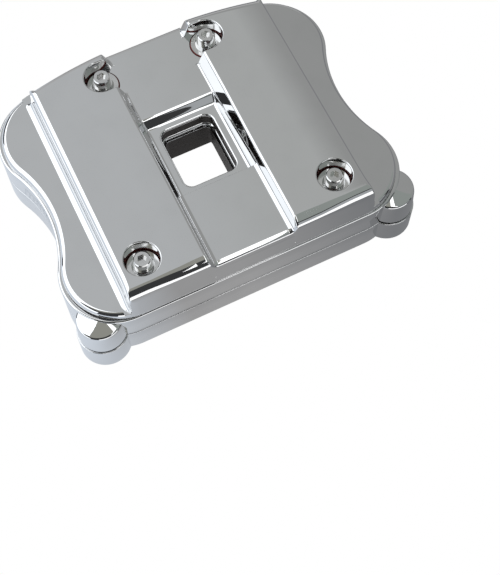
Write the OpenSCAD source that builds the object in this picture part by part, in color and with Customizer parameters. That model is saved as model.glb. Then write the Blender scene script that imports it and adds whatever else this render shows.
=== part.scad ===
// Valve cover for an air-cooled V-twin: three stacked castings, two seam gaskets
// and four socket head screws with their washers.
// All lengths are in millimetres. The base gasket face is z = 0, +Z is up,
// the flat front wall faces -Y and the part is mirror symmetric about x = 0.

/* [Stack heights] */
// Height of the bottom casting
lower_h = 19; // [12:0.5:26]
// Height of the middle casting
middle_h = 18.9; // [12:0.1:26]
// Thickness of each seam gasket
gasket_t = 0.8; // [0.5:0.1:1.5]
// Thickness of the flange that runs out into the four lobes
flange_t = 4.5; // [4:0.1:6]
// Height of the raised panels above the underside of the top casting
panel_h = 22.5; // [20:0.5:26]

/* [Outline of the top casting] */
// Depth from the front wall to the rear wall
cover_d = 154; // [146:1:162]
// Half width over the front lobes
front_half_w = 101.5; // [96:0.5:106]
// Half width over the rear lobes
rear_half_w = 101.1; // [96:0.5:106]
// Corner radius of the front lobes
front_lobe_r = 31.6; // [26:0.2:36]
// Corner radius of the rear lobes
rear_lobe_r = 30.6; // [26:0.2:36]
// Radius of the hollow waist between the lobes
waist_r = 60; // [50:1:80]
// Radius that rounds the upper edge of the flange
flange_round = 3; // [1.5:0.1:3.5]

/* [Outline of the two lower castings] */
// How far the lower castings stand out at the sides
side_step = 2; // [0.5:0.1:3]
// How far they stand out at the front
front_step = 0.6; // [0.2:0.1:2]
// How far they stand out at the rear
rear_step = 1.5; // [0.2:0.1:3]
// Radius on the upper edge of the middle casting
middle_round = 1.2; // [0.5:0.1:2]
// Thickness of the outer walls
wall_t = 5; // [4:0.5:7]

/* [Raised panels] */
// Half width of the channel between the panels, measured at its foot
channel_half_w = 22.5; // [20:0.5:25]
// Radius along the channel edge of each panel
panel_round = 4.5; // [3:0.1:5.5]
// Outer edge of the panel tops
panel_edge_x = 70; // [66:0.5:74]
// How far the outer step runs down and out to the flange
panel_slope_w = 8.2; // [6:0.2:10]
// Set-back of the panel tops from the front wall beside the channel
front_inner = 7; // [6.5:0.1:8]
// Set-back of the panel tops from the front wall at the outer corner
front_outer = 5.9; // [5.5:0.1:8]
// Set-back of the panel tops from the rear wall beside the channel
rear_inner = 8; // [7:0.5:9]
// Set-back of the panel tops from the rear wall at the outer corner
rear_outer = 13.9; // [12:0.1:15]
// How far the front wall leans back for each millimetre of height
front_lean = 0.075; // [0.04:0.005:0.09]
// How far the rear face of each panel leans forward for each millimetre of height
rear_lean = 0.24; // [0.15:0.01:0.24]
// Corner radius of the panel tops, seen from above
panel_corner_r = 4; // [2:0.5:6]
// Corner radius at the foot of the panels
panel_foot_r = 1.5; // [1:0.1:2]
// Hollow blend at the foot of the outer step
foot_blend = 2.2; // [1.5:0.1:3]

/* [Channel, pocket and window] */
// Height of the front channel floor above the underside of the top casting
front_floor_h = 16.5; // [14:0.5:18]
// Height of the rear channel floor
rear_floor_h = 12.5; // [11:0.5:14]
// Height of the pocket floor round the window
pocket_floor_h = 8; // [6.5:0.5:9]
// Where the front channel drops into the pocket
pocket_front_y = 48.5; // [46:0.5:50]
// Where the pocket floor meets its rear slope
pocket_rear_y = 99.5; // [98:0.5:106]
// Corner radius of the pocket, seen from above
pocket_corner_r = 5; // [2:0.5:7]
// Hollow blend at the foot of the pocket's front wall
pocket_blend = 1.5; // [0.5:0.1:2.5]
// Radius on the front edge of the channel
channel_front_round = 4; // [2:0.5:5]
// Radius on the rear edge of the channel
channel_rear_round = 3.5; // [2:0.5:5]
// Half width of the window
window_half_w = 16; // [12:0.5:18]
// Front edge of the window
window_front_y = 55.4; // [53:0.2:60]
// Rear edge of the window
window_rear_y = 94.6; // [88:0.2:96]
// Corner radius of the window
window_corner_r = 5; // [3:0.5:7]
// Chamfer round the upper rim of the window
window_rim = 1.2; // [0.4:0.1:1.5]
// How much wider the window is in the middle casting
middle_window_gap = 2; // [1:0.1:3]
// How much wider the window is in the bottom casting
lower_window_gap = 4.6; // [3.5:0.1:5]
// How much further it reaches to the rear in the bottom casting
lower_window_rear = 6.8; // [4:0.2:8]
// Corner radius of the window in the bottom casting
lower_window_r = 3; // [1:0.5:7]
// Wall between the window and the rocker chambers
window_wall_t = 4.4; // [3.5:0.1:6]
// Roof over the hollow inside each panel
roof_t = 5; // [4:0.5:6]
// Wall between that hollow and the front wall
hollow_front_t = 9; // [8:0.5:12]
// Wall between that hollow and the rear wall
hollow_rear_t = 14; // [13:0.5:18]
// Wall between that hollow and the channel side of the chambers
hollow_side_t = 2; // [1.5:0.1:4]
// Corner radius of that hollow
hollow_corner_r = 6; // [4:0.5:8]

/* [Front corner bosses] */
// Distance between the two boss centres
boss_spacing = 181.6; // [176:0.2:184]
// Boss centre behind the front wall
boss_y = 9.8; // [8:0.2:13]
// Boss radius on the bottom casting
boss_r = 14.8; // [12:0.2:16]
// Boss radius at the foot of the middle casting
boss_mid_r = 14.1; // [11:0.1:14.8]
// Boss radius at its rim
boss_rim_r = 13.1; // [10:0.1:14]
// Height of the shallow cone on top of the boss
boss_cone_h = 2.6; // [1:0.1:4]
// Radius of the flat at the tip of that cone
boss_tip_r = 1; // [0.5:0.1:3]
// Tapped hole radius in the underside of each boss
boss_hole_r = 3.3; // [2.5:0.1:4.5]
// Tapped hole depth
boss_hole_depth = 13; // [8:0.5:16]

/* [Screws and washers] */
// Front screws, half distance apart
front_screw_x = 58.1; // [54:0.1:60]
// Front screws, distance behind the front wall
front_screw_y = 20.6; // [19:0.1:24]
// Rear screws, half distance apart
rear_screw_x = 32.9; // [32:0.1:36]
// Rear screws, distance behind the front wall
rear_screw_y = 134.9; // [132:0.1:138]
// Screw shank diameter (1/4 inch)
screw_d = 6.35; // [6:0.05:6.4]
// Screw length under the head (1 3/4 inch)
screw_len = 44.45; // [42:0.05:46]
// Socket head diameter
head_d = 9.53; // [9:0.01:10.5]
// Socket head height
head_h = 6.35; // [6:0.05:7]
// Hex socket width across its flats (3/16 inch)
hex_af = 4.76; // [4:0.01:5]
// Hex socket depth
hex_depth = 3.2; // [2.5:0.1:4]
// Counterbore radius round each screw head
counterbore_r = 9.85; // [9.8:0.05:11]
// Height of the counterbore floor above the underside of the top casting
counterbore_floor_h = 11.3; // [10.5:0.1:12]
// Chamfer round the upper rim of each counterbore
counterbore_rim = 0.8; // [0.3:0.1:1]
// Metal left round each counterbore inside the hollow panels
counterbore_wall_t = 3; // [2:0.1:4]
// How far the ground of the rear counterbores' side openings lies below the channel floor
side_opening_drop = 0.1; // [0.05:0.05:0.5]
// Fibre washer radius
fibre_r = 9.5; // [9:0.1:9.7]
// Fibre washer thickness
fibre_t = 1.2; // [0.8:0.1:1.6]
// Steel washer radius
steel_r = 9; // [8:0.1:9.2]
// Steel washer rim thickness
steel_rim_t = 0.7; // [0.5:0.1:0.8]
// Steel washer thickness under the screw head
steel_t = 3.4; // [1:0.1:3.6]
// Clearance between a shank and the holes it runs through
shank_gap = 0.35; // [0.3:0.05:0.8]
// Radius of the pillars round the screws
pillar_r = 8; // [7:0.5:9]
// Width of the thin rim of each steel washer
steel_rim_w = 2.6; // [1:0.1:2.8]
// Width of the slope from that rim up to the screw head
steel_rise_w = 0.8; // [0.5:0.1:1.2]
// Chamfer on the upper edge of each screw head
head_chamfer = 0.5; // [0.2:0.05:0.8]
// Chamfer on the tip of each screw
tip_chamfer = 0.8; // [0.3:0.1:1.2]
// How far the tapped holes run on below the screw tips
tap_run_out = 2; // [0.5:0.1:3]

/* [Hidden] */

lobe_steps = 26;
waist_steps = 12;
round_steps = 5;
cut_over = 1;
gasket_inset = 0.7;
band_lap = 1;
seam_wall_inset = 0.5;
corner_steps = 4;
panel_lap = 1.5;
foot_rise = 0.6;
foot_sink = 0.1;
tuck = 0.5;

middle_z = lower_h + gasket_t;
cover_z = middle_z + middle_h + gasket_t;
flange_top_z = cover_z + flange_t;
panel_top_z = cover_z + panel_h;
front_floor_z = cover_z + front_floor_h;
rear_floor_z = cover_z + rear_floor_h;
pocket_floor_z = cover_z + pocket_floor_h;
counterbore_z = cover_z + counterbore_floor_h;
steel_z = counterbore_z + fibre_t;
seat_z = steel_z + steel_t;
shank_r = screw_d / 2;
shank_hole_r = shank_r + shank_gap;
shank_tip_z = seat_z - screw_len;
boss_x = boss_spacing / 2;
chamber_x = window_half_w + lower_window_gap + window_wall_t;
shoulder_z = panel_top_z - panel_round;
side_opening_z = rear_floor_z - side_opening_drop;

steel_color = [0.78, 0.79, 0.80];
chrome_color = [0.86, 0.87, 0.88];
gasket_color = [0.10, 0.10, 0.11];
fibre_color = [0.38, 0.07, 0.05];

// An outline is [front y, rear y, front half width, rear half width,
// front radius, rear radius, waist radius].
cover_outline = [0, cover_d, front_half_w, rear_half_w, front_lobe_r, rear_lobe_r, waist_r];
lower_outline = [-front_step, cover_d + rear_step, front_half_w + side_step, rear_half_w + side_step,
                 front_lobe_r + front_step, rear_lobe_r + rear_step, waist_r];

// The part is moved so that its box is centred on the origin in x and y.
front_end = boss_y - boss_r;
rear_end = cover_d + rear_step;
centre_y = (front_end + rear_end) / 2;

function lobe_f(o) = [o[2] - o[4], o[0] + o[4]];
function lobe_r(o) = [o[3] - o[5], o[1] - o[5]];
function unit(v) = v / norm(v);

// Centre of the waist circle that touches both lobes from outside.
function waist_c(o) =
    let (a = lobe_f(o), b = lobe_r(o), ra = o[4] + o[6], rb = o[5] + o[6],
         gap = norm(b - a), u = unit(b - a),
         along = (ra * ra - rb * rb + gap * gap) / (2 * gap),
         out = sqrt(ra * ra - along * along))
    a + along * u + out * [u[1], -u[0]];

function arc_pts(c, r, a0, a1, n, i0, i1) =
    [for (i = [i0:i1]) let (a = a0 + (a1 - a0) * i / n) c + r * [cos(a), sin(a)]];

// Right half of an outline, moved inward by d, from the front to the rear.
function half_pts(o, d) =
    let (a = lobe_f(o), b = lobe_r(o), w = waist_c(o),
         ta = atan2(w[1] - a[1], w[0] - a[0]),
         tb = atan2(w[1] - b[1], w[0] - b[0]))
    concat(arc_pts(a, o[4] - d, -90, ta, lobe_steps, 0, lobe_steps),
           arc_pts(w, o[6] + d, ta + 180, tb + 180, waist_steps, 1, waist_steps - 1),
           arc_pts(b, o[5] - d, tb, 90, lobe_steps, 0, lobe_steps));

function loop_pts(o, d) =
    let (h = half_pts(o, d), n = len(h))
    concat(h, [for (i = [n - 1:-1:0]) [-h[i][0], h[i][1]]]);

function at_z(pts, z) = [for (p = pts) [p[0], p[1], z]];

// Half outline closed along x = x0, for the chambers.
function chamber_pts(o, d, x0) =
    let (h = half_pts(o, d), n = len(h))
    concat([[x0, h[0][1]]], h, [[x0, h[n - 1][1]]]);

// Rectangle from [x0, y0] to [x1, y1] with rounded corners.
function round_rect(x0, y0, x1, y1, r, n = 6) =
    concat(arc_pts([x1 - r, y0 + r], r, -90, 0, n, 0, n),
           arc_pts([x1 - r, y1 - r], r, 0, 90, n, 0, n),
           arc_pts([x0 + r, y1 - r], r, 90, 180, n, 0, n),
           arc_pts([x0 + r, y0 + r], r, 180, 270, n, 0, n));

// Solid through a list of rings that all have the same number of points.
module skin(rings, flat = true) {
    n = len(rings[0]);
    m = len(rings);
    points = [for (ring = rings) for (p = ring) p];
    quads = [for (k = [0:m - 2]) for (i = [0:n - 1])
        let (j = (i + 1) % n) [k * n + i, (k + 1) * n + i, (k + 1) * n + j, k * n + j]];
    sides = flat ? quads : [for (q = quads) for (t = [0, 1])
        t == 0 ? [q[0], q[1], q[2]] : [q[0], q[2], q[3]]];
    bottom = [[for (i = [0:n - 1]) i]];
    top = [[for (i = [n - 1:-1:0]) (m - 1) * n + i]];
    polyhedron(points = points, faces = concat(bottom, sides, top), convexity = 6);
}

module mirrored() {
    children();
    mirror([1, 0, 0]) children();
}

module at_screws() {
    for (side = [-1, 1]) {
        translate([side * front_screw_x, front_screw_y, 0]) children();
        translate([side * rear_screw_x, rear_screw_y, 0]) children();
    }
}

// Closed band through rings, the last ring joined back to the first.
module band(rings) {
    n = len(rings[0]);
    m = len(rings);
    points = [for (ring = rings) for (p = ring) p];
    quads = [for (k = [0:m - 1]) for (i = [0:n - 1])
        let (j = (i + 1) % n, u = (k + 1) % m) [k * n + i, u * n + i, u * n + j, k * n + j]];
    polyhedron(points = points, faces = quads, convexity = 6);
}

// Prism of an outline with a rounded upper edge: a plain prism up to the rounding,
// a core up to the top, and a band between them that carries the round.
module rounded_slab(o, z0, z1, r) {
    translate([0, 0, z0]) linear_extrude(z1 - z0 - r) polygon(loop_pts(o, 0));
    translate([0, 0, z0]) linear_extrude(z1 - z0) polygon(loop_pts(o, r + band_lap / 2));
    band(concat(
        [for (i = [0:round_steps])
            let (a = 90 * i / round_steps)
            at_z(loop_pts(o, r * (1 - cos(a))), z1 - r + r * sin(a))],
        [at_z(loop_pts(o, r + band_lap), z1), at_z(loop_pts(o, r + band_lap), z1 - r)]));
}

// Outline of the window, widened by gap on every side.
function window_pts(gap) =
    round_rect(-window_half_w - gap, window_front_y - gap,
               window_half_w + gap, window_rear_y + gap, window_corner_r + gap / 2);

module window_cut(gap, z0, z1) {
    translate([0, 0, z0]) linear_extrude(z1 - z0) polygon(window_pts(gap));
}

// Ground the screws stand on inside the chambers, joined to the nearest wall.
module pillars_2d() {
    for (side = [-1, 1]) {
        translate([side * front_screw_x, front_screw_y]) circle(r = pillar_r, $fn = 48);
        translate([side * front_screw_x - pillar_r, 0]) square([2 * pillar_r, front_screw_y]);
        translate([side * rear_screw_x, rear_screw_y]) circle(r = pillar_r, $fn = 48);
        translate([side * rear_screw_x - pillar_r, rear_screw_y])
            square([2 * pillar_r, cover_d - rear_screw_y - wall_t / 2]);
        translate([side > 0 ? window_half_w : -rear_screw_x, rear_screw_y - pillar_r])
            square([rear_screw_x - window_half_w, 2 * pillar_r]);
    }
}

// The two rocker chambers, open above and below.
module chambers_2d(inset) {
    difference() {
        mirrored() polygon(chamber_pts(cover_outline, inset, chamber_x));
        pillars_2d();
    }
}

module screw_holes(r, z0, z1) {
    at_screws() translate([0, 0, z0]) cylinder(r = r, h = z1 - z0, $fn = 40);
}

module lower_box() {
    color(chrome_color)
    difference() {
        union() {
            linear_extrude(lower_h) polygon(loop_pts(lower_outline, 0));
            for (side = [-1, 1])
                translate([side * boss_x, boss_y, 0]) cylinder(r = boss_r, h = lower_h, $fn = 96);
        }
        translate([0, 0, -cut_over])
            linear_extrude(lower_h + 2 * cut_over) chambers_2d(wall_t);
        translate([0, 0, -cut_over])
            linear_extrude(lower_h + 2 * cut_over)
                polygon(round_rect(-window_half_w - lower_window_gap, window_front_y - lower_window_gap,
                                   window_half_w + lower_window_gap, window_rear_y + lower_window_rear,
                                   lower_window_r));
        screw_holes(shank_hole_r, shank_tip_z - tap_run_out, lower_h + cut_over);
        for (side = [-1, 1])
            translate([side * boss_x, boss_y, -cut_over])
                cylinder(r = boss_hole_r, h = boss_hole_depth + cut_over, $fn = 40);
    }
}

module seam_gasket(z) {
    color(gasket_color)
    translate([0, 0, z])
        linear_extrude(gasket_t)
            difference() {
                polygon(loop_pts(cover_outline, gasket_inset));
                chambers_2d(wall_t + seam_wall_inset);
                polygon(window_pts(middle_window_gap));
                for (side = [-1, 1]) {
                    translate([side * front_screw_x, front_screw_y]) circle(r = shank_hole_r, $fn = 40);
                    translate([side * rear_screw_x, rear_screw_y]) circle(r = shank_hole_r, $fn = 40);
                }
            }
}

module lower_gasket() {
    seam_gasket(lower_h);
}

module upper_gasket() {
    seam_gasket(middle_z + middle_h);
}

module middle_section() {
    rim_z = middle_h - boss_cone_h - foot_sink;
    color(chrome_color)
    difference() {
        union() {
            rounded_slab(lower_outline, middle_z, middle_z + middle_h, middle_round);
            for (side = [-1, 1])
                translate([side * boss_x, boss_y, middle_z]) {
                    cylinder(r1 = boss_mid_r, r2 = boss_rim_r, h = rim_z, $fn = 96);
                    translate([0, 0, rim_z])
                        cylinder(r1 = boss_rim_r, r2 = boss_tip_r, h = boss_cone_h, $fn = 96);
                }
        }
        translate([0, 0, middle_z - cut_over])
            linear_extrude(middle_h + 2 * cut_over) chambers_2d(wall_t);
        window_cut(middle_window_gap, middle_z - cut_over, middle_z + middle_h + cut_over);
        screw_holes(shank_hole_r, middle_z - cut_over, middle_z + middle_h + cut_over);
    }
}

// One ring of a raised panel at height z: inner and outer x, then the y of the inner and
// outer corners at the front and at the rear, and the corner radius.
function panel_ring(z, xi, xo, y_if, y_of, y_ir, y_or, r) =
    let (f = atan2(y_if - y_of, xo - xi), g = atan2(y_ir - y_or, xo - xi), n = corner_steps)
    at_z(concat(arc_pts([xo - r, y_of + r], r, -90 - f, 0, n, 0, n),
                arc_pts([xo - r, y_or - r], r, 0, 90 - g, n, 0, n),
                arc_pts([xi + r, y_ir - r], r, 90 - g, 180, n, 0, n),
                arc_pts([xi + r, y_if + r], r, 180, 270 - f, n, 0, n)), z);

function front_y(z) = front_lean * (z - cover_z);
function rear_fall(z) = rear_lean * (shoulder_z - z);

// A ring below the shoulder, where the front wall and the rear face lean.
function wall_ring(z, xo) =
    panel_ring(z, channel_half_w, xo, front_y(z), front_y(z),
               cover_d - rear_inner + panel_round + rear_fall(z),
               cover_d - rear_outer + panel_round + rear_fall(z), panel_foot_r);

// Raised panel on the right: blended foot, leaning walls and rounded upper edge.
module panel() {
    foot_x = panel_edge_x + panel_slope_w;
    shoulder_x = panel_edge_x + panel_round;
    y_front = front_y(shoulder_z);
    foot_ring = wall_ring(flange_top_z - foot_sink, foot_x);
    skin(concat(
        [at_z(foot_ring, cover_z + panel_lap),
         foot_ring,
         wall_ring(flange_top_z + foot_rise, foot_x - foot_rise * foot_blend),
         wall_ring(flange_top_z + foot_blend, foot_x - foot_blend)],
        [for (i = [0:round_steps])
            let (a = 90 * i / round_steps, s = 1 - cos(a))
            panel_ring(shoulder_z + panel_round * sin(a),
                channel_half_w + panel_round * s,
                shoulder_x - panel_round * s,
                y_front + (front_inner - y_front) * s,
                y_front + (front_outer - y_front) * s,
                cover_d - rear_inner + panel_round * (1 - s),
                cover_d - rear_outer + panel_round * (1 - s),
                panel_foot_r + (panel_corner_r - panel_foot_r) * s)]), false);
}

// Channel floors, front edge and rear edge seen from the side, as [y, z] points.
function channel_profile() =
    let (f = front_floor_z, rf = channel_front_round, rr = channel_rear_round,
         z_front = f - rf, y_rear = cover_d - 2 * foot_sink,
         y_step = (pocket_front_y + pocket_rear_y) / 2)
    concat([[foot_sink, cover_z + tuck], [front_y(z_front), z_front]],
        [for (i = [1:round_steps])
            let (a = 90 * i / round_steps)
            [front_y(z_front) + rf * (1 - cos(a)), z_front + rf * sin(a)]],
        [[y_step, f], [y_step, rear_floor_z]],
        [for (i = [0:round_steps])
            let (a = 90 * i / round_steps)
            [y_rear - rr * (1 - sin(a)), rear_floor_z - rr * (1 - cos(a))]],
        [[y_rear, cover_z + tuck]]);

// Prism along x of a profile given as [y, z] points.
module along_x(x0, x1, profile) {
    translate([x0, 0, 0])
        rotate([90, 0, 90])
            linear_extrude(x1 - x0) polygon(profile);
}

module channel_block() {
    along_x(-channel_half_w - panel_lap, channel_half_w + panel_lap, channel_profile());
}

// Pocket round the window, with a sloping rear side.
module pocket_cut() {
    half = channel_half_w + tuck;
    top_z = front_floor_z + cut_over;
    reach = top_z - pocket_floor_z;
    intersection() {
        along_x(-half - cut_over, half + cut_over,
            [[pocket_front_y - cut_over, top_z],
             [pocket_front_y - cut_over, pocket_floor_z + pocket_blend],
             [pocket_front_y, pocket_floor_z + pocket_blend],
             [pocket_front_y + pocket_blend, pocket_floor_z],
             [pocket_rear_y, pocket_floor_z],
             [pocket_rear_y + reach, top_z]]);
        translate([0, 0, cover_z])
            linear_extrude(panel_h)
                polygon(round_rect(-half, pocket_front_y, half,
                                   pocket_rear_y + reach + pocket_corner_r, pocket_corner_r));
    }
}

// Window through the top casting with its rim chamfered where it opens into the pocket.
module cover_window() {
    window_cut(0, cover_z - cut_over, pocket_floor_z);
    skin([at_z(window_pts(0), pocket_floor_z - window_rim),
          at_z(window_pts(window_rim), pocket_floor_z),
          at_z(window_pts(window_rim), pocket_floor_z + cut_over)]);
}

// Counterbore for one screw, chamfered at the panel top.
module counterbore() {
    rotate_extrude($fn = 72)
        polygon([[0, counterbore_z], [counterbore_r, counterbore_z],
                 [counterbore_r, panel_top_z - counterbore_rim],
                 [counterbore_r + counterbore_rim, panel_top_z],
                 [counterbore_r + counterbore_rim, panel_top_z + cut_over],
                 [0, panel_top_z + cut_over]]);
}

// The rear counterbores open sideways into the channel at their full width.
module side_opening() {
    r = counterbore_r;
    q = counterbore_r + counterbore_rim;
    top_z = panel_top_z;
    translate([0, rear_screw_y, 0])
        along_x(channel_half_w - panel_lap, rear_screw_x,
            [[-r, side_opening_z], [r, side_opening_z], [r, top_z - counterbore_rim],
             [q, top_z], [q, top_z + cut_over], [-q, top_z + cut_over],
             [-q, top_z], [-r, top_z - counterbore_rim]]);
}

// Hollow under each panel.
module cover_hollow() {
    difference() {
        translate([0, 0, cover_z - cut_over])
            linear_extrude(panel_h - roof_t + cut_over)
                mirrored()
                    polygon(round_rect(chamber_x + hollow_side_t, hollow_front_t,
                                       panel_edge_x - tuck, cover_d - hollow_rear_t,
                                       hollow_corner_r));
        at_screws() translate([0, 0, cover_z - 2 * cut_over])
            cylinder(r = counterbore_r + counterbore_wall_t, h = panel_h, $fn = 64);
    }
}

module top_cover() {
    color(chrome_color)
    difference() {
        union() {
            rounded_slab(cover_outline, cover_z, flange_top_z, flange_round);
            difference() {
                channel_block();
                pocket_cut();
            }
            mirrored() panel();
        }
        cover_hollow();
        cover_window();
        at_screws() counterbore();
        mirrored() side_opening();
        screw_holes(shank_hole_r, cover_z - cut_over, counterbore_z + cut_over);
    }
}

module fibre_washers() {
    color(fibre_color)
    at_screws() translate([0, 0, counterbore_z])
        rotate_extrude($fn = 72)
            translate([shank_hole_r, 0]) square([fibre_r - shank_hole_r, fibre_t]);
}

module steel_washers() {
    color(steel_color)
    at_screws() translate([0, 0, steel_z])
        rotate_extrude($fn = 72)
            polygon([[shank_hole_r, 0], [steel_r, 0], [steel_r, steel_rim_t],
                     [steel_r - steel_rim_w, steel_rim_t],
                     [steel_r - steel_rim_w - steel_rise_w, steel_t], [shank_hole_r, steel_t]]);
}

module socket_screw() {
    difference() {
        rotate_extrude($fn = 72)
            polygon([[0, -screw_len], [shank_r - tip_chamfer, -screw_len],
                     [shank_r, -screw_len + tip_chamfer], [shank_r, 0], [head_d / 2, 0],
                     [head_d / 2, head_h - head_chamfer], [head_d / 2 - head_chamfer, head_h],
                     [0, head_h]]);
        translate([0, 0, head_h - hex_depth])
            linear_extrude(hex_depth + cut_over)
                circle(r = hex_af / sqrt(3), $fn = 6);
    }
}

module cover_screws() {
    color(steel_color)
    at_screws() translate([0, 0, seat_z]) socket_screw();
}

translate([0, -centre_y, 0]) {
    lower_box();
    lower_gasket();
    middle_section();
    upper_gasket();
    top_cover();
    fibre_washers();
    steel_washers();
    cover_screws();
}
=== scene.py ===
# %% [markdown]
# A chrome valve cover for an air-cooled V-twin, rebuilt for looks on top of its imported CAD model.
# The real thing is three polished and plated castings stacked on two gaskets, held by four cap
# screws. Mirror chrome shows nothing but its surroundings, so two things matter here: surfaces
# with exact normals, and a small photo studio round them.

# %% Load the frame
import math

import bmesh
import bpy
import numpy as np
from mathutils import Matrix


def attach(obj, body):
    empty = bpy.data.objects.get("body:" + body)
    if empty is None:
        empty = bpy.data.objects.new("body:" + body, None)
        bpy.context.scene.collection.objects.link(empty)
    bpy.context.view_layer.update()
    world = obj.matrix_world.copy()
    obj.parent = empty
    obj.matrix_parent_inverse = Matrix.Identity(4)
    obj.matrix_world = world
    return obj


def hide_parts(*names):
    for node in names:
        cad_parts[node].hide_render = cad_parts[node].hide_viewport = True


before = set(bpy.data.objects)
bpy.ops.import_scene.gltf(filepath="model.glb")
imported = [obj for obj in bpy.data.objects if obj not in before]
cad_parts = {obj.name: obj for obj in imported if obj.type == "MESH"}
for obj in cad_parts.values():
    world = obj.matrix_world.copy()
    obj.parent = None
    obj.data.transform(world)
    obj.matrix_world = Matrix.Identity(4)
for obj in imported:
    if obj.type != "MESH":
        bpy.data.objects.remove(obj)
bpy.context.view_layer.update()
print("CAD nodes:", sorted(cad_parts))

# %% [markdown]
# Lengths below are in millimetres from the front wall, as on a drawing of the casting. `place`
# turns them into the metres of the shared frame, whose origin is the middle of the base.

# %% Sizes
CENTRE_Y = 75.25
LOWER_TOP = 19.0
MIDDLE = (19.8, 38.7)
COVER_Z = 39.5
FLANGE_TOP = 44.0
PANEL_TOP = 62.0
CHANNEL_Z, REAR_CHANNEL_Z = 56.0, 52.0
POCKET_Z = 47.5
POCKET_Y = (56.0, 99.0)
HOLLOW_Z = 57.0
BORE_FLOOR = 50.8
BORE_R = 9.85
HOLE_R = 3.525
MID_Y = 77.0
BOLTS = [(s * x, y) for x, y in ((58.1, 20.6), (32.9, 134.9)) for s in (-1, 1)]
BOSS = (90.8, 9.8)


def place(points):
    p = np.asarray(points, float).copy()
    p[:, 1] -= CENTRE_Y
    return p * 0.001


print("Stack: seams at", LOWER_TOP, "and", MIDDLE[1], "mm, panel tops at", PANEL_TOP, "mm")

# %% [markdown]
# The outline of each casting is made of arcs: a lobe at each corner and a hollow waist between them
# that touches both lobes. `half_outline` walks the right half and returns points with the outward
# normal of the wall at each, so that the plating reflects as one smooth sheet.

# %% Outlines
COVER = dict(y0=0.0, y1=154.0, wf=100.8, wr=100.5, rf=32.3, rr=32.0, rw=76.0)
LOWER = dict(y0=-0.6, y1=155.5, wf=103.5, wr=103.1, rf=32.2, rr=32.1, rw=74.0)


def arc(centre, radius, a0, a1, n, sign=1.0):
    a = np.radians(np.linspace(a0, a1, n))
    u = np.stack([np.cos(a), np.sin(a)], 1)
    return np.hstack([np.asarray(centre) + radius * u, sign * u])


def half_outline(o, d=0.0, n=40):
    a = np.array([o["wf"] - o["rf"], o["y0"] + o["rf"]])
    b = np.array([o["wr"] - o["rr"], o["y1"] - o["rr"]])
    ra, rb = o["rf"] + o["rw"], o["rr"] + o["rw"]
    gap = np.linalg.norm(b - a)
    u = (b - a) / gap
    along = (ra**2 - rb**2 + gap**2) / (2 * gap)
    w = a + along * u + math.sqrt(ra**2 - along**2) * np.array([u[1], -u[0]])
    ta = math.degrees(math.atan2(w[1] - a[1], w[0] - a[0]))
    tb = math.degrees(math.atan2(w[1] - b[1], w[0] - b[0]))
    return np.vstack([
        arc(a, o["rf"] - d, -90, ta, n),
        arc(w, o["rw"] + d, ta + 180, tb + 180, n // 2, -1.0)[1:-1],
        arc(b, o["rr"] - d, tb, 90, n),
    ])


def outline(o, d=0.0, n=40):
    """The whole outline, moved inwards by d: rows of x, y and the outward normal."""
    h = half_outline(o, d, n)
    return np.vstack([h, h[::-1] * np.array([-1, 1, -1, 1])])


def round_rect(x0, y0, x1, y1, r, n=8):
    return np.vstack([
        arc((x1 - r, y0 + r), r, -90, 0, n), arc((x1 - r, y1 - r), r, 0, 90, n),
        arc((x0 + r, y1 - r), r, 90, 180, n), arc((x0 + r, y0 + r), r, 180, 270, n)])


def ring_circle(x, y, r, n):
    return arc((x, y), r, 0, 360, n + 1)[:-1]


print("Cover outline:", np.ptp(outline(COVER)[:, :2], axis=0).round(1), "mm")

# %% [markdown]
# A mesh is gathered from strips between loops. Each strip carries its own normals, so a rounded
# edge shades as a true round while the flat beside it stays flat.

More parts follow.
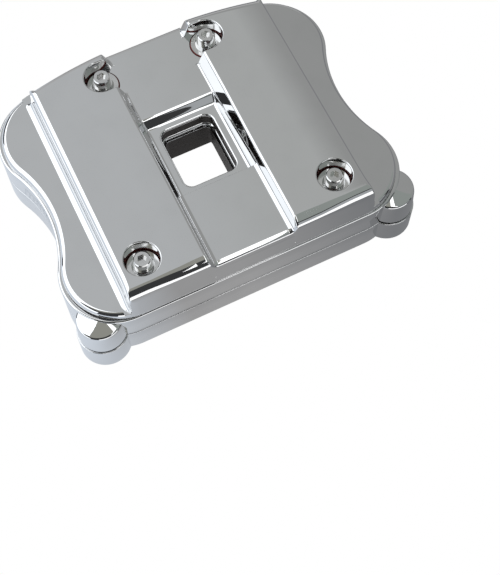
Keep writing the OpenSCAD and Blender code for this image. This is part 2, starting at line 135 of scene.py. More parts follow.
# %% Mesh builder
class Shell:
    """A mesh in the making. `slot` is the material number of the faces that are added next."""

    def __init__(self):
        self.verts, self.faces, self.normals = [], [], []
        self.slot, self.slots = 0, []

    def add(self, points, faces, normals):
        base = len(self.verts)
        self.verts += [tuple(p) for p in points]
        self.faces += [tuple(base + i for i in f) for f in faces]
        self.slots += [self.slot] * len(faces)
        n = np.asarray(normals, float)
        n = n / np.maximum(np.linalg.norm(n, axis=1, keepdims=True), 1e-9)
        self.normals += [tuple(v) for v in n]

    def strip(self, loops, normals, closed=True, flip=False):
        """loops and normals: lists of equal-length (n, 3) arrays, bottom to top, anticlockwise."""
        n = len(loops[0])
        pts, nor, faces = np.vstack(loops), np.vstack(normals), []
        for k in range(len(loops) - 1):
            for i in range(n if closed else n - 1):
                j = (i + 1) % n
                f = (k * n + i, k * n + j, (k + 1) * n + j, (k + 1) * n + i)
                faces.append(f[::-1] if flip else f)
        self.add(pts, faces, nor)

    def sheet(self, outer, holes, z, up=True):
        """A flat face at height z inside outer and outside holes."""
        bm = bmesh.new()
        edges = []
        for loop in [outer] + list(holes):
            vs = [bm.verts.new((p[0], p[1], z)) for p in loop]
            edges += [bm.edges.new((vs[i], vs[(i + 1) % len(vs)])) for i in range(len(vs))]
        bmesh.ops.triangle_fill(bm, use_beauty=True, use_dissolve=False, edges=edges,
                                normal=(0, 0, 1 if up else -1))
        bm.verts.index_update()
        want = 1.0 if up else -1.0
        pts = [tuple(v.co) for v in bm.verts]
        faces = []
        for f in bm.faces:
            f.normal_update()
            ids = [v.index for v in f.verts]
            faces.append(ids if f.normal.z * want > 0 else ids[::-1])
        bm.free()
        self.add(pts, faces, [(0, 0, want)] * len(pts))

    def hole(self, loop, z0, z1, rim=0.0):
        """The wall of a hole, seen from inside it, with a rounded upper rim."""
        n2 = np.hstack([-loop[:, 2:4], np.zeros((len(loop), 1))])
        loops, nors = [np.column_stack([loop[:, :2], np.full(len(loop), z0)])], [n2]
        for a in np.radians(np.linspace(0, 90, 6 if rim else 1)):
            r = rim * (1 - math.cos(a))
            xy = loop[:, :2] + loop[:, 2:4] * r
            loops.append(np.column_stack([xy, np.full(len(loop), z1 - rim + rim * math.sin(a))]))
            nors.append(n2 * math.cos(a) + np.array([0, 0, math.sin(a)]))
        self.strip(loops, nors, flip=True)
        return loops[-1]

    def build(self, name, *materials):
        me = bpy.data.meshes.new(name)
        me.from_pydata(place(np.array(self.verts)).tolist(), [], self.faces)
        for material in materials:
            me.materials.append(material)
        me.polygons.foreach_set("use_smooth", [True] * len(me.polygons))
        me.polygons.foreach_set("material_index", self.slots)
        me.normals_split_custom_set_from_vertices(self.normals)
        me.update()
        ob = bpy.data.objects.new(name, me)
        bpy.context.scene.collection.objects.link(ob)
        return ob


def rounded_wall(shell, o, z0, z1, r, foot=0.0, steps=8):
    """Outer wall of a casting with a rounded upper edge and, if asked, a small one below."""
    base = outline(o)
    flat = np.hstack([base[:, 2:4], np.zeros((len(base), 1))])
    loops, nors = [], []
    if foot:
        for a in np.radians(np.linspace(-90, 0, 5)[:-1]):
            loops.append((outline(o, foot * (1 - math.cos(a))), z0 + foot + foot * math.sin(a)))
            nors.append(flat * math.cos(a) + np.array([0, 0, math.sin(a)]))
    else:
        loops.append((base, z0))
        nors.append(flat)
    for a in np.radians(np.linspace(0, 90, steps)):
        loops.append((outline(o, r * (1 - math.cos(a))), z1 - r + r * math.sin(a)))
        nors.append(flat * math.cos(a) + np.array([0, 0, math.sin(a)]))
    shell.strip([np.column_stack([l[:, :2], np.full(len(l), z)]) for l, z in loops], nors)
    return loops[0][0], loops[-1][0]


def revolve(shell, x, y, profile, n=96):
    """profile: (radius, height, normal out, normal up) rows, from the foot to the top."""
    a = np.radians(np.linspace(0, 360, n + 1)[:-1])
    c, s = np.cos(a), np.sin(a)
    loops = [np.column_stack([x + r * c, y + r * s, np.full(n, z)]) for r, z, _, _ in profile]
    nors = [np.column_stack([u * c, u * s, np.full(n, w)]) for _, _, u, w in profile]
    shell.strip(loops, nors)


print("Surfaces are built from strips, flat sheets, holes and turned profiles")

# %% [markdown]
# Each surface is mixed from simple shader maths. `Val` wraps one socket, so that formulas read as
# formulas; every other node comes from one method that takes its type, settings and inputs.

# %% Shader helpers
class Val:
    """The value at one socket of a node."""

    def __init__(self, tree, socket):
        self.tree, self.socket = tree, socket

    def _math(self, operation, a, b):
        return self.tree.node("ShaderNodeMath", {"operation": operation}, {0: a, 1: b})[0]

    def __add__(self, other): return self._math("ADD", self, other)
    def __radd__(self, other): return self._math("ADD", other, self)
    def __mul__(self, other): return self._math("MULTIPLY", self, other)
    def __rmul__(self, other): return self._math("MULTIPLY", other, self)


class Tree:
    """The node tree of one material."""

    def __init__(self, name):
        self.mat = bpy.data.materials.new(name)
        self.mat.use_nodes = True
        self.nt = self.mat.node_tree
        self.nt.nodes.clear()
        self.out = self.nt.nodes.new("ShaderNodeOutputMaterial")

    def node(self, kind, settings=None, inputs=None):
        n = self.nt.nodes.new(kind)
        for k, v in (settings or {}).items():
            setattr(n, k, v)
        for k, v in (inputs or {}).items():
            if isinstance(v, Val):
                self.nt.links.new(v.socket, n.inputs[k])
            else:
                n.inputs[k].default_value = v
        return [Val(self, o) for o in n.outputs]

    def here(self):
        """Object coordinates of the point that is shaded, in metres."""
        texture_coordinates = self.nt.nodes.new("ShaderNodeTexCoord")
        return Val(self, texture_coordinates.outputs["Object"])

    def noise(self, coord, scale, detail=2.0, rough=0.5):
        return self.node("ShaderNodeTexNoise", {}, {
            "Vector": coord, "Scale": scale, "Detail": detail, "Roughness": rough})[0]

    def ramp(self, fac, lo, hi, to_lo=0.0, to_hi=1.0):
        return self.node("ShaderNodeMapRange", {"clamp": True}, {
            "Value": fac, "From Min": lo, "From Max": hi, "To Min": to_lo, "To Max": to_hi})[0]

    def mix(self, fac, a, b):
        n = self.nt.nodes.new("ShaderNodeMix")
        n.data_type = "RGBA"
        for sock, v in ((n.inputs["Factor"], fac), (n.inputs[6], a), (n.inputs[7], b)):
            if isinstance(v, Val):
                self.nt.links.new(v.socket, sock)
            else:
                sock.default_value = v
        return Val(self, n.outputs[2])

    def surface(self, shader):
        self.nt.links.new(shader.socket, self.out.inputs["Surface"])
        return self.mat

    def finish(self, **inputs):
        return self.surface(self.node("ShaderNodeBsdfPrincipled", {}, inputs)[0])


print("Shader helpers ready: Val for formulas, Tree for nodes")

# %% [markdown]
# Decorative chrome is a very thin bright layer over polished nickel. It is almost a mirror with a
# faint blue cast; buffing leaves a slow ripple, and handling a little haze in patches.

# %% Materials
def chrome(name, tone=(0.74, 0.745, 0.75, 1), ripple=0.003):
    t = Tree(name)
    pos = t.here()
    haze = t.ramp(t.noise(pos, 55, 3), 0.45, 0.75)
    darker = tuple(c * 0.97 for c in tone[:3]) + (1,)
    relief = t.noise(pos, 38, 1) * 0.9 + t.noise(pos, 420, 2) * 0.02
    waves = {"Height": relief, "Strength": ripple, "Distance": 0.002}
    bump = t.node("ShaderNodeBump", {}, waves)[0]
    return t.finish(**{"Base Color": t.mix(haze, tone, darker), "Metallic": 1.0,
                       "Roughness": haze * 0.02 + 0.02, "Normal": bump})


def steel(name):
    t = Tree(name)
    pos = t.here()
    grain = t.noise(pos, 900, 4)
    spots = t.noise(pos, 260, 3)
    bump = t.node("ShaderNodeBump", {}, {"Height": spots, "Strength": 0.05, "Distance": 0.0004})[0]
    tone = t.mix(t.ramp(spots, 0.35, 0.7), (0.76, 0.76, 0.75, 1), (0.68, 0.68, 0.68, 1))
    return t.finish(**{"Base Color": tone, "Metallic": 1.0,
                       "Roughness": t.ramp(grain, 0.3, 0.7, 0.10, 0.18), "Normal": bump})


def grained(name, scale, detail, dark, light, rough, bump_strength, bump_distance, **more):
    """A dull surface with a grain that varies its colour, its roughness and its relief."""
    t = Tree(name)
    pos = t.here()
    grain = t.noise(pos, scale, detail)
    bump = t.node("ShaderNodeBump", {}, {
        "Height": grain, "Strength": bump_strength, "Distance": bump_distance})[0]
    tone = t.mix(t.ramp(grain, 0.35, 0.65), dark + (1,), light + (1,))
    return t.finish(**{"Base Color": tone, "Roughness": t.ramp(grain, 0.3, 0.7, *rough),
                       "Normal": bump}, **more)


CHROME = chrome("chrome_plating")
STEEL = steel("screw_steel")
GASKET = grained("gasket_sheet", 1500, 3, (0.018, 0.018, 0.02), (0.05, 0.05, 0.055),
                 (0.6, 0.85), 0.3, 0.0003)
FIBRE = grained("red_fibre", 1200, 4, (0.10, 0.006, 0.004), (0.20, 0.018, 0.012),
                (0.35, 0.55), 0.2, 0.0003)
# Inside the castings the plating is thin and the rough metal shows. Its colour is painted near
# black: painted shade for the shade inside the chambers, holes, hollows and window.
RAW_WITH_PAINTED_SHADE = grained("raw_casting_painted_shade", 700, 4, (0.035, 0.03, 0.028), (0.07, 0.06, 0.055),
              (0.3, 0.5), 0.25, 0.0004, Metallic=0.4)

for node_name, mat in (("lower_gasket", GASKET), ("upper_gasket", GASKET), ("fibre_washers", FIBRE),
                       ("steel_washers", STEEL), ("cover_screws", STEEL)):
    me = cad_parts[node_name].data
    me.materials.clear()
    me.materials.append(mat)
    print(node_name, "shows", mat.name)

# %% [markdown]
# The two lower castings are plain walls that follow the outline, with the rocker chambers open
# inside and a round boss at each front corner. The middle one has its upper edge rounded over,
# which shows as a white line under the dark seam.

# %% Lower castings
CHAMBER_X = 25.0
CHAMBER_WALL = 5.0
PILLAR_R = 8.0
FOOT_ROUND = 0.4


def both_sides(loop):
    """A loop with the normal at each point, and its mirror image on the left."""
    t = np.roll(loop, -1, 0) - np.roll(loop, 1, 0)
    nrm = np.column_stack([t[:, 1], -t[:, 0]])
    nrm /= np.linalg.norm(nrm, axis=1, keepdims=True)
    right = np.hstack([loop, nrm])
    return [right, right[::-1] * np.array([-1, 1, -1, 1])]


def chamber_loops():
    """Inner wall of the right chamber and its mirror image, with the screw pillars let in."""
    h = half_outline(COVER, CHAMBER_WALL, 24)[:, :2]
    (fx, fy), (rx, ry) = BOLTS[1], BOLTS[3]
    front = arc((fx, fy), PILLAR_R, 180, 0, 14)[:, :2]
    rear = arc((rx, ry), PILLAR_R, 0, -90, 8)[:, :2]
    return both_sides(np.vstack([[(CHAMBER_X, h[0, 1]), (fx - PILLAR_R, h[0, 1])], front,
                                 [(fx + PILLAR_R, h[0, 1])], h, [(rx + PILLAR_R, h[-1, 1])], rear,
                                 [(CHAMBER_X, ry - PILLAR_R)]]))


def hollow_loops(reach=3.0):
    """Inner wall of the hollow under each panel, which runs round the two counterbores."""
    (fx, fy), (rx, ry) = BOLTS[1], BOLTS[3]
    x0, y0, x1, y1 = 27.0, 9.0, 69.5, 140.0
    r, b = 6.0, BORE_R + reach
    f0, f1 = math.asin((y0 - fy) / b), math.acos((x1 - fx) / b)
    r0, r1 = math.asin((y1 - ry) / b), math.acos((x0 - rx) / b)
    front = arc((fx, fy), b, 180 - math.degrees(f0), math.degrees(f1), 24)[:, :2]
    rear = arc((rx, ry), b, math.degrees(r0), -math.degrees(r1), 20)[:, :2]
    return both_sides(np.vstack([arc((x0 + r, y0 + r), r, 180, 270, 6)[:, :2], front,
                                 arc((x1 - r, y1 - r), r, 0, 90, 6)[:, :2], rear]))


def casting(z0, z1, top_round, window, window_rim, boss_profile):
    """A lower casting between z0 and z1, with its chambers, screw holes, window and bosses."""
    s = Shell()
    bottom, top = rounded_wall(s, LOWER, z0, z1, top_round, FOOT_ROUND)
    holes = chamber_loops() + [ring_circle(x, y, HOLE_R, 32) for x, y in BOLTS]
    # Chambers, screw holes and the lower window wall get the raw casting material, whose near-black
    # colour is painted shade.
    s.slot = 1
    for h in holes:
        s.hole(h, z0, z1)
    s.hole(window, z0, z1 - window_rim)
    s.slot = 0
    upper = s.hole(window, z1 - window_rim, z1, window_rim)
    s.sheet(top, holes + [upper], z1)
    s.sheet(bottom, holes + [window], z0, up=False)
    for side in (-1, 1):
        revolve(s, side * BOSS[0], BOSS[1], boss_profile)
    return s


# Boss profiles: rows of radius, height and the normal's outward and upward parts.
LOWER_BOSS = [
    (3.3, 0.0, 0, -1), (14.3, 0.0, 0, -1), (14.4, 0.0, .38, -.92), (14.7, 0.15, .8, -.6),
    (14.8, 0.5, 1, 0), (14.8, 18.3, 1, 0), (14.65, 18.8, .7, .7), (14.3, 19.0, 0, 1),
    (1.0, 19.0, 0, 1)]
MIDDLE_BOSS = [
    (1.0, 19.8, 0, -1), (13.6, 19.8, 0, -1), (14.0, 20.1, .8, -.6), (14.1, 20.6, 1, .03),
    (13.3, 34.6, .99, .08), (13.1, 35.6, .95, .3), (12.5, 36.3, .6, .8), (11.6, 36.6, .22, .97),
    (1.0, 38.5, .17, .98), (0.1, 38.6, 0, 1)]
lower = casting(0.0, LOWER_TOP, 0.4, round_rect(-20.6, 50.8, 20.6, 101.4, 1.2), 0.4, LOWER_BOSS)
middle = casting(*MIDDLE, 1.2, round_rect(-14.7, 56.5, 14.7, 93.5, 4), 3.2, MIDDLE_BOSS)
lower_ob = lower.build("lower_box_plated", CHROME, RAW_WITH_PAINTED_SHADE)
middle_ob = middle.build("middle_plated", CHROME, RAW_WITH_PAINTED_SHADE)
for ob, node_name in ((lower_ob, "lower_box"), (middle_ob, "middle_section")):
    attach(ob, "root")
    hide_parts(node_name)
    print(ob.name, len(ob.data.vertices), "vertices")

# %% [markdown]
# Seen from above, the top casting is one surface: at each x and y it has one height. `height` says
# how the designer's profiles meet: panel tops with round edges, the channel with its floors, the
# pocket, the bevelled front edge, the slanted rear edge and a wall that leans in as it rises.

# %% Edge profiles
RIM = 0.8
STEP_TOP, STEP_FOOT = 70.2, 78.1
WALL_SLOPE = 13.3


def fall(u, a, b, slope):
    """Drop behind a round edge: a quarter ellipse, a by b, that runs on as a straight slope."""
    t = np.arctan(slope * a / b)
    c = np.clip(u / a, 0, np.sin(t))
    straight = b * (1 - np.cos(t)) + (u - a * np.sin(t)) * slope
    return np.where(u < a * np.sin(t), b * (1 - np.sqrt(1 - c * c)), straight)


def join(d1, d2, n=1.7):
    """Two drops met at a corner, blended so that the corner is round as well."""
    return (np.clip(d1, 0, 60) ** n + np.clip(d2, 0, 60) ** n) ** (1 / n)


def edge_distance(ax, y):
    rf, rr, y1 = COVER["rf"], COVER["rr"], COVER["y1"]
    fx, rx = COVER["wf"] - rf, COVER["wr"] - rr
    front = np.where(ax <= fx, y, rf - np.hypot(ax - fx, y - rf))
    rear = np.where(ax <= rx, y1 - y, rr - np.hypot(ax - rx, y - y1 + rr))
    d = np.full(np.shape(y), 50.0)
    d = np.where(y < rf, front, d)
    return np.where(y > y1 - rr, rear, d)


def s_curve(u, width, height, foot_r, top_r):
    """Height over a hollow foot, a straight slope and a round top, for u from 0 to width."""
    total = foot_r + top_r
    tilt = np.arctan2(height - total, width) + np.arcsin(total / np.hypot(width, height - total))
    a, b = foot_r * np.sin(tilt), width - top_r * np.sin(tilt)
    low = foot_r - np.sqrt(np.clip(foot_r**2 - np.clip(u, 0, foot_r) ** 2, 0, None))
    high = height - top_r + np.sqrt(np.clip(top_r**2 - np.clip(width - u, 0, top_r) ** 2, 0, None))
    slope = foot_r * (1 - np.cos(tilt)) + (u - a) * np.tan(tilt)
    return np.where(u < a, low, np.where(u < b, slope, high))


def soft_plus(v, w):
    """v where it is positive, else 0, with the bend between them softened over a few w."""
    return np.where(v > 8 * w, v, w * np.log1p(np.exp(np.clip(v / w, -50, 50))))


u = np.linspace(0, 7.9, 5)
print("Outer step, height over its width:", s_curve(u, 7.9, 18.0, 4.4, 3.0).round(1), "mm")


# %% [markdown]
# Each part of the top gets its own small function of `ax`, the distance from the middle plane, and
# y. Most of them give a drop below the panel tops, so that two of them can be joined at a corner.

# %% Height of the top casting
def step_drop(ax, y):
    """Outer step of a panel. Towards the front it narrows to a point at the flange edge."""
    near = np.clip((17 - y) / 17, 0, 1) ** 2
    top_x = STEP_TOP + 2.4 * near
    foot_x = STEP_FOOT - 2.4 * np.clip((9 - y) / 9, 0, 1) ** 2
    u = (foot_x - ax) * (STEP_FOOT - STEP_TOP) / (foot_x - top_x)
    drop = PANEL_TOP - FLANGE_TOP
    return drop - s_curve(u, STEP_FOOT - STEP_TOP, drop, 4.4, 3.0)


def to_rear(y):
    """From 0 at the front end of the pocket to 1 at its rear end."""
    return np.clip((y - POCKET_Y[0]) / (POCKET_Y[1] - POCKET_Y[0]), 0, 1)


def channel_floor(y):
    """Floor of the channel, high in front and low behind the pocket, with a round at each end."""
    front = CHANNEL_Z - fall(12.3 - y, 11.5, 5.5, WALL_SLOPE)
    rear = REAR_CHANNEL_Z - fall(y - 150.2, 3.5, 3.5, WALL_SLOPE)
    under = CHANNEL_Z - (CHANNEL_Z - REAR_CHANNEL_Z) * to_rear(y)
    return np.where(y < POCKET_Y[0], front, np.where(y > POCKET_Y[1], rear, under))


def side_drop(ax, y):
    """Slope from the channel up to a panel top, as a drop below that top."""
    t = to_rear(y)
    rise = PANEL_TOP - CHANNEL_Z + t * (CHANNEL_Z - REAR_CHANNEL_Z)
    return rise - s_curve(ax - 21.3 - 0.7 * t, 6.4 - 0.3 * t, rise, 3.4 - 1.8 * t, 2.0 - 0.2 * t)


def pocket(ax, y):
    """The pocket round the window: steep sides and front, a sloping rear and round corners."""
    u, r = ax - 20.0, 2.2
    # The round foot runs on as a straight side from this far out and this high up.
    bend, bend_z, slope = 2.167, 1.82, 5.67
    foot = r - np.sqrt(np.clip(r * r - np.clip(u, 0, r) ** 2, 0, None))
    side = np.where(u < bend, foot, bend_z + (u - bend) * slope)
    ends = np.where(y < MID_Y, 9.0 * soft_plus(49.4 - y, 0.12), soft_plus(y - POCKET_Y[1], 0.6))
    return POCKET_Z + join(side, ends, 3.0)


def front_drop(ax, y):
    """Round front edge of a panel, which turns tighter towards the outer step."""
    top = 10.5 - (np.clip(ax, 33, 58) - 33) * 0.08
    b = 5.0 + (np.clip(ax, 42, 62) - 42) * 0.1
    # The round ends where it meets the front wall, which leans in by this much up to the panels.
    lean = 1.69
    a = top - lean + 0.068 * b
    return fall(top - y, a, b, WALL_SLOPE)


def rear_drop(ax, y):
    """Slanted rear edge of a panel, which curves forward towards the outer step."""
    u = np.clip(ax, 27, 76) - 27
    on_step = np.clip((ax - STEP_TOP) / (STEP_FOOT - STEP_TOP), 0, 1)
    return fall(y - (146.0 - 0.055 * u - 0.0019 * u * u + 6.0 * on_step), 5.0, 5.0, 4.2)


def height(x, y):
    ax = np.abs(x)
    sides = np.where(ax < 48, side_drop(ax, y), step_drop(ax, y))
    ends = np.where(y < MID_Y, front_drop(ax, y), rear_drop(ax, y))
    z = PANEL_TOP - join(sides, ends)
    z = np.where(ax < 24, np.maximum(z, channel_floor(y)), z)
    low = pocket(ax, y)
    z = np.where((ax < 30) & (y > 44) & (y < 120), low - soft_plus(low - z, 0.7), z)
    wall = COVER_Z + WALL_SLOPE * np.clip(edge_distance(ax, y), 0, None)
    return np.minimum(np.maximum(z, FLANGE_TOP), np.maximum(wall, COVER_Z))


def height_normal(x, y, e=0.03):
    hx = (height(x + e, y) - height(x - e, y)) / (2 * e)
    hy = (height(x, y + e) - height(x, y - e)) / (2 * e)
    n = np.stack([-hx, -hy, np.ones_like(hx)], -1)
    return n / np.linalg.norm(n, axis=-1, keepdims=True)


probes = np.array([(50.0, 60.0), (0.0, 30.0), (19.0, 75.0), (85.0, 40.0)])
print("Panel, channel, pocket and flange at", height(probes[:, 0], probes[:, 1]).round(2), "mm")


# %% [markdown]
# The surface is sampled on a net whose lines crowd where the shape turns.

# %% Net over the top
def lines(*spans):
    """Grid lines: spans of (start, end, spacing)."""
    out = []
    for a, b, step in spans:
        out.append(np.linspace(a, b, max(2, int(round((b - a) / step)) + 1)))
    v = np.unique(np.round(np.concatenate(out), 4))
    return v[np.concatenate([[True], np.diff(v) > 0.02])]


SLOT_X = 21.5
SLOT = (BOLTS[3][1] - BORE_R - RIM, BOLTS[3][1] + BORE_R + RIM)
half_x = lines((0, 10, 3.3), (10.4, 17.6, 0.5), (17.6, 19.2, 0.4), (19.2, SLOT_X, 0.23),
               (SLOT_X, 28.2, 0.2), (28.2, 44.2, 0.55), (44.2, 46.2, 1.0), (46.2, 69.8, 0.55),
               (69.8, 73.2, 0.25), (73.2, 73.7, 0.12), (73.7, STEP_FOOT, 0.24))
net_x = np.concatenate([-half_x[:0:-1], half_x])
net_y = lines((0, 1.6, 0.08), (1.6, 8, 0.27), (8, 9.7, 0.8), (9.7, 33.3, 0.55), (33.3, 47, 3.5),
              (47.6, 51.2, 0.2), (51.2, 53.2, 1.0), (53.2, 61, 0.5), (61, 89, 4), (89, 96.4, 0.5),
              (96.4, 98, 0.8), (98, 106, 0.33), (106, SLOT[0], 3.1), (SLOT[0], 139, 0.55),
              (139, SLOT[1], 0.33), (SLOT[1], 153, 0.3), (153, 154, 0.1))
GX, GY = np.meshgrid(net_x, net_y, indexing="ij")
print("Net:", len(net_x), "by", len(net_y), "lines")

# %% [markdown]
# Holes for the screws and the window are cut out of the net, and the vertices next to a cut are
# pulled onto its true edge. A cutter gives the signed distance to its edge and the nearest point.

# %% Cuts in the net
WINDOW_RIM = 1.2
WINDOW_R = 5.0
WINDOW = (-16.0, 55.4, 16.0, 94.6)


def bore_cut(x, y, cx, cy, r):
    dx, dy = x - cx, y - cy
    d = np.maximum(np.hypot(dx, dy), 1e-6)
    return d - r, cx + dx / d * r, cy + dy / d * r


def open_bore_cut(x, y, cx, cy, r):
    """A rear counterbore: round on the panel side, straight from its middle into the channel."""
    side = np.sign(cx)
    d, px, py = bore_cut(x, y, cx, cy, r)
    inner = (x - cx) * side < 0
    straight = np.maximum(np.abs(y - cy) - r, SLOT_X - x * side)
    return (np.where(inner, straight, d), np.where(inner, x, px), np.where(inner, y, py))


def window_cut(x, y):
    r = WINDOW_R + WINDOW_RIM
    x0, y0, x1, y1 = WINDOW
    hx, hy = (x1 - x0) / 2 + WINDOW_RIM, (y1 - y0) / 2 + WINDOW_RIM
    cy = (y0 + y1) / 2
    sx, sy = np.sign(x), np.sign(y - cy)
    qx, qy = np.abs(x) - hx + r, np.abs(y - cy) - hy + r
    corner = (qx > 0) & (qy > 0)
    d = np.where(corner, np.hypot(np.maximum(qx, 0), np.maximum(qy, 0)) - r, np.maximum(qx, qy) - r)
    k = r / np.maximum(np.hypot(qx, qy), 1e-6)
    px = np.where(corner, sx * (hx - r + qx * k), np.where(qx > qy, sx * hx, x))
    py = np.where(corner, cy + sy * (hy - r + qy * k), np.where(qx > qy, y, cy + sy * hy))
    return d, px, py


cuts = [window_cut]
for cx, cy in BOLTS:
    cutter = open_bore_cut if cy > MID_Y else bore_cut
    cuts.append(lambda x, y, f=cutter, cx=cx, cy=cy: f(x, y, cx, cy, BORE_R + RIM))
X, Y = GX.copy(), GY.copy()
keep = np.ones((len(net_x) - 1, len(net_y) - 1), bool)
for cut in cuts:
    d, px, py = cut(GX, GY)
    inside = d < 1e-3
    keep &= ~(inside[:-1, :-1] & inside[1:, :-1] & inside[:-1, 1:] & inside[1:, 1:])
    X, Y = np.where(inside, px, X), np.where(inside, py, Y)
beyond = edge_distance(np.abs(GX), GY) < -0.02
keep &= ~(beyond[:-1, :-1] | beyond[1:, :-1] | beyond[:-1, 1:] | beyond[1:, 1:])
Z = height(X, Y)
N = height_normal(X, Y)
ids = np.arange(X.size).reshape(X.shape)
quads = np.stack([ids[:-1, :-1], ids[1:, :-1], ids[1:, 1:], ids[:-1, 1:]], -1)[keep]
used = np.unique(quads)
remap = np.full(X.size, -1)
remap[used] = np.arange(len(used))
pts = np.stack([X, Y, Z], -1).reshape(-1, 3)[used]
top = Shell()
top.add(pts, remap[quads].tolist(), N.reshape(-1, 3)[used])
print(len(quads), "faces left after", len(cuts), "cuts")

# %% [markdown]
# Under the net lie the flange with its round edge, the flat base, the hollow under each panel and
# the window's wall. The flange's own top stays a hair below the net, so that only the net is seen.

# %% Walls and base of the top casting
WINDOW_SPLIT = POCKET_Z - WINDOW_RIM - 0.4
cover_wall = rounded_wall(top, COVER, COVER_Z, FLANGE_TOP, 3.0, 0.4, 10)
window = round_rect(*WINDOW, WINDOW_R, 10)
hollows = hollow_loops()
shank_holes = [ring_circle(x, y, HOLE_R, 32) for x, y in BOLTS]
top.sheet(cover_wall[0], hollows + shank_holes + [window], COVER_Z, up=False)
top.sheet(cover_wall[1], hollows + [window], FLANGE_TOP - 0.004)
top.hole(window, WINDOW_SPLIT, POCKET_Z, WINDOW_RIM)
# Hollows, shank holes and the lower window wall get the raw casting material, whose near-black
# colour is painted shade.
top.slot = 1
for h in hollows:
    top.hole(h, COVER_Z, HOLLOW_Z)
    top.sheet(h, [], HOLLOW_Z, up=False)
for h in shank_holes:
    top.hole(h, COVER_Z, BORE_FLOOR)
top.hole(window, COVER_Z, WINDOW_SPLIT)
top.slot = 0
print(len(top.faces), "faces with walls and base")

# %% [markdown]
# The front counterbores are round. The rear two open into the channel: their outer half is round
# and has the deep floor, and the inner half runs straight on at the channel's level.

# %% Counterbores
FILLET = 0.5
AROUND, HALF_AROUND, ALONG = 128, 65, 40


def bore_wall(path, out, floor_z, closed):
    """Wall of a counterbore along `path`, with `out` pointing into the metal, and its round rim."""
    rim_xy = path + RIM * out
    rim_z = height(rim_xy[:, 0], rim_xy[:, 1])
    rim_n = height_normal(rim_xy[:, 0], rim_xy[:, 1])
    inward = np.hstack([-out, np.zeros((len(out), 1))])
    loops, nors = [np.column_stack([path, floor_z])], [inward]
    for b in np.radians(np.linspace(0, 90, 8)):
        xy = path + RIM * (1 - math.cos(b)) * out
        loops.append(np.column_stack([xy, np.maximum(rim_z - RIM + RIM * math.sin(b), floor_z)]))
        nors.append(inward * math.cos(b) + rim_n * math.sin(b))
    top.strip(loops, nors, closed=closed, flip=True)


def bore_floor(cx, cy, out):
    """Deep floor of a counterbore round its screw hole, with a small hollow round at the wall."""
    flat = np.tile([0, 0, 1.0], (AROUND, 1))
    inward = np.hstack([-out, np.zeros((AROUND, 1))])
    centre, flat_r = np.array([cx, cy]), BORE_R - FILLET
    loops = [np.column_stack([centre + r * out, np.full(AROUND, BORE_FLOOR)])
             for r in (HOLE_R, flat_r)]
    nors = [flat, flat]
    for b in np.radians(np.linspace(15, 90, 5)):
        loops.append(np.column_stack([centre + (flat_r + FILLET * math.sin(b)) * out,
                                      np.full(AROUND, BORE_FLOOR + FILLET - FILLET * math.cos(b))]))
        nors.append(inward * math.sin(b) + flat * math.cos(b))
    top.strip(loops, nors, flip=True)


def open_bore(cx, cy):
    """Wall, step and channel floor of a rear counterbore."""
    side = 1 if cx > 0 else -1
    reach = np.linspace(SLOT_X, abs(cx), ALONG)
    still, ahead = np.zeros(ALONG), np.ones(ALONG)
    a = np.radians(np.linspace(90, -90, HALF_AROUND))[1:-1]
    xs = np.concatenate([reach, abs(cx) + BORE_R * np.cos(a), reach[::-1]])
    ys = np.concatenate([BORE_R * ahead, BORE_R * np.sin(a), -BORE_R * ahead])
    ox = np.concatenate([still, np.cos(a), still])
    oy = np.concatenate([ahead, np.sin(a), -ahead])
    path, out = np.column_stack([side * xs, cy + ys]), np.column_stack([side * ox, oy])
    if side > 0:
        path, out = path[::-1], out[::-1]
    straight = np.abs(path[:, 0]) <= abs(cx)
    bore_wall(path, out, np.where(straight, REAR_CHANNEL_Z, BORE_FLOOR + FILLET), False)
    b = np.radians(np.linspace(90, 270, HALF_AROUND))
    half_ring = np.column_stack([side * (abs(cx) + BORE_R * np.cos(b)), cy + BORE_R * np.sin(b)])
    corners = [[(side * SLOT_X, cy + BORE_R)], [(side * SLOT_X, cy - BORE_R)]]
    top.sheet(np.vstack([corners[0], half_ring, corners[1]]), [], REAR_CHANNEL_Z)
    step = [np.column_stack([half_ring, np.full(HALF_AROUND, z)])
            for z in (BORE_FLOOR + FILLET, REAR_CHANNEL_Z)]
    lip = np.column_stack([-side * np.cos(b), -np.sin(b), np.zeros(HALF_AROUND)])
    top.strip(step, [lip, lip], closed=False, flip=side > 0)


for cx, cy in BOLTS:
    ring = ring_circle(cx, cy, BORE_R, AROUND)
    bore_floor(cx, cy, ring[:, 2:4])
    if cy < MID_Y:
        bore_wall(ring[:, :2], ring[:, 2:4], np.full(AROUND, BORE_FLOOR + FILLET), True)
    else:
        open_bore(cx, cy)
top_ob = top.build("top_cover_plated", CHROME, RAW_WITH_PAINTED_SHADE)
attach(top_ob, "root")
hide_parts("top_cover")
print(top_ob.name, len(top_ob.data.polygons), "faces")

# %% [markdown]
# The studio is a white sweep with large soft boxes. Chrome turns every gap between them into a
# dark streak, which is what gives the photograph its black and white edges.

# %% Studio walls
CEILING_Z = 1.5
FLOOR_Z = -0.0002
HALF_FLOOR = 3.0


def emitter(name, colour, strength):
    t = Tree(name)
    return t.surface(t.node("ShaderNodeEmission", {}, {"Color": colour, "Strength": strength})[0])


def stage_face(name, corners, material, camera=False):
    me = bpy.data.meshes.new(name)
    me.from_pydata(corners, [], [(0, 1, 2, 3)])
    me.materials.append(material)
    ob = bpy.data.objects.new(name, me)
    ob.visible_camera = camera
    bpy.context.scene.collection.objects.link(ob)
    return ob


def level(x, y, z):
    """Corners of a level sheet between the pairs in x and y."""
    return [(x[0], y[0], z), (x[1], y[0], z), (x[1], y[1], z), (x[0], y[1], z)]


def ceiling(name, x, y, z, strength, colour):
    return stage_face(name, level(x, y, z), emitter(name + "_light", colour, strength))


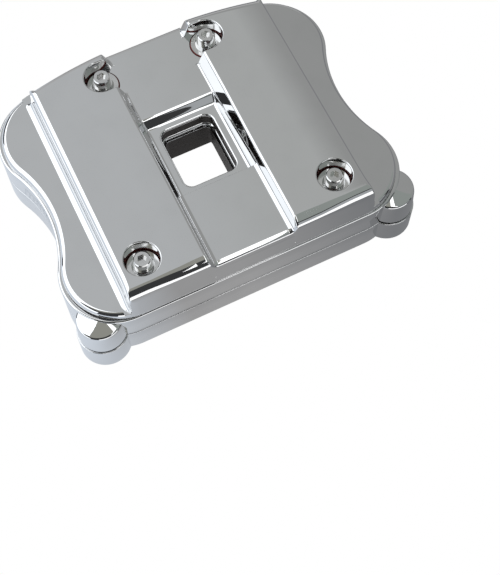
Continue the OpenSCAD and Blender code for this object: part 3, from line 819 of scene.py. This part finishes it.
def screen(name, p, q, z, strength, colour):
    """An upright sheet from p to q on the ground, between the heights in z."""
    corners = [(p[0], p[1], z[0]), (q[0], q[1], z[0]), (q[0], q[1], z[1]), (p[0], p[1], z[1])]
    return stage_face(name, corners, emitter(name + "_light", colour, strength))


def across(tree):
    """The x of the point that is shaded, in metres."""
    return tree.node("ShaderNodeSeparateXYZ", {}, {"Vector": tree.here()})[0]


def emission(tree, colour):
    return tree.node("ShaderNodeEmission", {}, {"Color": colour, "Strength": 1.0})[0]


print("Studio ceiling at", CEILING_Z, "m")

# %% [markdown]
# The camera sees the floor and the world as pure white paper. Reflections see the floor in pale
# grey, cooler on the left and darker on the right, and a dim world between the soft boxes.

# %% Floor and world
floor_t = Tree("sweep")
path = floor_t.nt.nodes.new("ShaderNodeLightPath")
cam_ray, glossy_ray = (Val(floor_t, path.outputs[k]) for k in ("Is Camera Ray", "Is Glossy Ray"))
x = across(floor_t)
tint = floor_t.mix(floor_t.ramp(x, -0.12, -0.04), (0.74, 0.80, 0.88, 1), (0.385, 0.383, 0.385, 1))
tint = floor_t.mix(floor_t.ramp(x, 0.0, 0.09), tint, (0.235, 0.24, 0.25, 1))
paper = floor_t.node("ShaderNodeBsdfDiffuse", {}, {"Color": (0.8, 0.8, 0.8, 1)})[0]
lit, white = emission(floor_t, tint), emission(floor_t, (1, 1, 1, 1))
seen = floor_t.node("ShaderNodeMixShader", {}, {0: glossy_ray, 1: paper, 2: lit})[0]
floor_t.surface(floor_t.node("ShaderNodeMixShader", {}, {0: cam_ray, 1: seen, 2: white})[0])
span = (-HALF_FLOOR, HALF_FLOOR)
stage_face("sweep", level(span, span, FLOOR_Z), floor_t.mat, camera=True)

world = bpy.data.worlds.new("studio")
bpy.context.scene.world = world
world.use_nodes = True
nodes, links = world.node_tree.nodes, world.node_tree.links
nodes.clear()
mixer = nodes.new("ShaderNodeMixShader")
links.new(nodes.new("ShaderNodeLightPath").outputs["Is Camera Ray"], mixer.inputs[0])
for slot, colour, strength in ((1, (0.95, 0.97, 1.0, 1), 0.05), (2, (1, 1, 1, 1), 1.0)):
    background = nodes.new("ShaderNodeBackground")
    background.inputs["Color"].default_value = colour
    background.inputs["Strength"].default_value = strength
    links.new(background.outputs[0], mixer.inputs[slot])
links.new(mixer.outputs[0], nodes.new("ShaderNodeOutputWorld").inputs[0])
print("Floor", 2 * HALF_FLOOR, "m wide, world strength 0.05 in reflections")

# %% [markdown]
# The flat tops mirror a large grey ceiling that fades to the right. A narrow bright strip in front
# draws the white line on the channel's front edge, and the big soft boxes on the left the white
# bands on every slope that faces left.

# %% Lights
grey_t = Tree("grey_top_light")
x = across(grey_t)
glow = grey_t.mix(grey_t.ramp(x, 0.14, 0.40), (0.545, 0.56, 0.57, 1), (0.48, 0.49, 0.485, 1))
glow = grey_t.mix(grey_t.ramp(x, 0.475, 0.53), glow, (0.36, 0.365, 0.36, 1))
grey_mat = grey_t.surface(emission(grey_t, glow))
stage_face("grey_top", level((-0.17, 3.0), (0.07, 3.0), CEILING_Z), grey_mat)
COOL = (0.93, 0.965, 1.0, 1)
for name, x, y, above, strength, colour in (
        ("front_left", (-1.0, 0.205), (-0.42, 0.07), 0.001, 0.34, (1.0, 1.0, 0.9, 1)),
        ("front_strip", (0.205, 0.335), (-0.95, 0.07), 0.001, 1.9, (1, 1, 1, 1)),
        ("front_right", (0.335, 3.0), (-1.1, 0.07), 0.001, 0.35, (0.92, 1.0, 0.95, 1)),
        ("left_top", (-2.2, -0.17), (0.07, 2.2), 0.002, 1.8, (0.95, 0.975, 1.0, 1))):
    ceiling(name, x, y, CEILING_Z + above, strength, colour)
for name, p, q, z, strength, colour in (
        ("left_side", (-2.2, -1.3), (-2.2, 2.2), (0.5, CEILING_Z), 1.7, COOL),
        ("left_low", (-2.2, -1.3), (-2.2, 2.2), (0.0, 0.5), 0.95, (0.86, 0.92, 1.0, 1)),
        ("rear_side", (-1.0, 3.0), (3.0, 3.0), (0.0, CEILING_Z), 0.5, (1, 1, 1, 1)),
        ("right_side", (3.0, -1.5), (3.0, 3.0), (0.0, CEILING_Z), 0.36, (1, 1, 1, 1)),
        ("front_grey", (0.455, -2.01), (3.0, -2.01), (1.0, 2.2), 0.47, (0.93, 0.97, 1.0, 1)),
        ("front_low", (-1.2, -2.0), (1.6, -2.0), (0.0, 1.0), 1.5, (1, 1, 1, 1))):
    screen(name, p, q, z, strength, colour)
print("Lights:", [m.name for m in bpy.data.materials if m.name.endswith("_light")])

# %% [markdown]
# The camera looks down from the front left. Its angles, aim and distance were fitted to the four
# screw heads, the seams and the window of the photograph; a long lens keeps the castings nearly
# parallel.

# %% Camera
cam_data = bpy.data.cameras.new("camera")
cam = bpy.data.objects.new("camera", cam_data)
bpy.context.scene.collection.objects.link(cam)
bpy.context.scene.camera = cam
FOCAL_PX, PICTURE_PX, SENSOR_MM = 1204.2, 575, 36
AZIMUTH, ELEVATION, ROLL = -25.58, 67.4, -0.31
AIM, DISTANCE = (-0.00755, -0.08293, 0.03), 0.67226
cam_data.lens = FOCAL_PX * SENSOR_MM / PICTURE_PX
cam_data.clip_start, cam_data.clip_end = 0.01, 20


def turn(degrees, axis):
    return Matrix.Rotation(math.radians(degrees), 4, axis)


cam.matrix_world = (Matrix.Translation(AIM) @ turn(AZIMUTH, "Z") @ turn(90 - ELEVATION, "X")
                    @ turn(ROLL, "Z") @ Matrix.Translation((0, 0, DISTANCE)))
bpy.context.scene.view_settings.view_transform = "Standard"
print("Lens", round(cam_data.lens, 1), "mm, camera at", [round(v, 3) for v in cam.location], "m")
